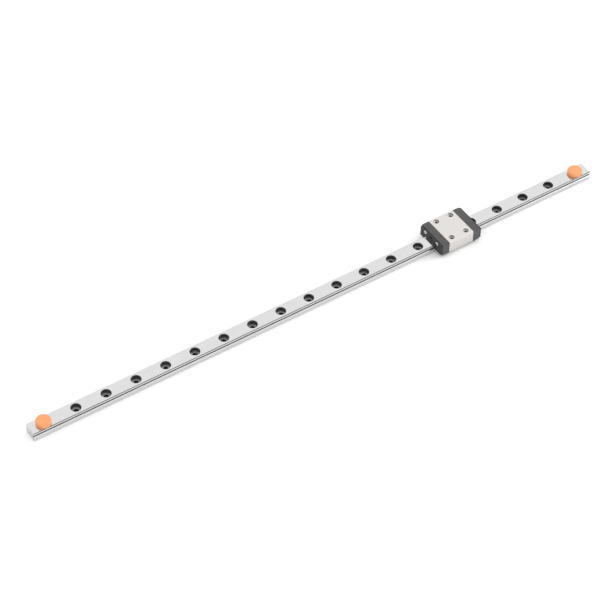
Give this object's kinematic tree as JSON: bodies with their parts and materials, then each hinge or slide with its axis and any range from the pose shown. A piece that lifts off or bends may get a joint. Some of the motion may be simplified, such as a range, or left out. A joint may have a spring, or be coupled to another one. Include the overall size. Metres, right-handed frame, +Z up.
{
  "type": "linear guide with carriage",
  "caption": "Miniature profile rail with counterbored holes, a short recirculating ball carriage with dark end caps, and an orange stopper at each end.",
  "frame": {"origin": "middle of the rail's underside, half way along the rail and half way across it", "axes": "+X along the rail, +Y across it, +Z up from the machine bed towards the carriage's top"},
  "size_m": [0.3, 0.017, 0.008],
  "materials": {
    "rail_steel": "ground and polished",
    "carriage_steel": "fine ground",
    "ball_steel": "polished",
    "wire_steel": "drawn",
    "screw_steel": "bright",
    "cap_plastic": "moulded",
    "core_plastic": "moulded",
    "seal_rubber": "moulded",
    "stopper_plastic": "soft moulded"
  },
  "bodies": {
    "rail": {"rail": "rail_steel"},
    "carriage": {"carriage_block": "carriage_steel", "end_cap_front": "cap_plastic", "end_cap_rear": "cap_plastic", "end_seal_front": "seal_rubber", "end_seal_rear": "seal_rubber", "cap_screws_front": "screw_steel", "cap_screws_rear": "screw_steel", "return_core_front_left": "core_plastic", "return_core_front_right": "core_plastic", "return_core_rear_left": "core_plastic", "return_core_rear_right": "core_plastic", "retainer_wire_left": "wire_steel", "retainer_wire_right": "wire_steel", "loaded_balls_left": "ball_steel", "turning_balls_left": "ball_steel", "returning_balls_left": "ball_steel", "loaded_balls_right": "ball_steel", "turning_balls_right": "ball_steel", "returning_balls_right": "ball_steel"},
    "stopper_front": {"rail_stopper_front": "stopper_plastic"},
    "stopper_rear": {"rail_stopper_rear": "stopper_plastic"}
  },
  "joints": [
    {"name": "carriage_slide", "type": "slide", "parent": "rail", "child": "carriage", "axis": [1, 0, 0], "range_m": [-0.1995, 0.0575]},
    {"name": "stopper_front_pull", "type": "slide", "parent": "rail", "child": "stopper_front", "axis": [0, 0, 1], "range_m": [0, 0.006]},
    {"name": "stopper_rear_pull", "type": "slide", "parent": "rail", "child": "stopper_rear", "axis": [0, 0, 1], "range_m": [0, 0.006]}
  ]
}
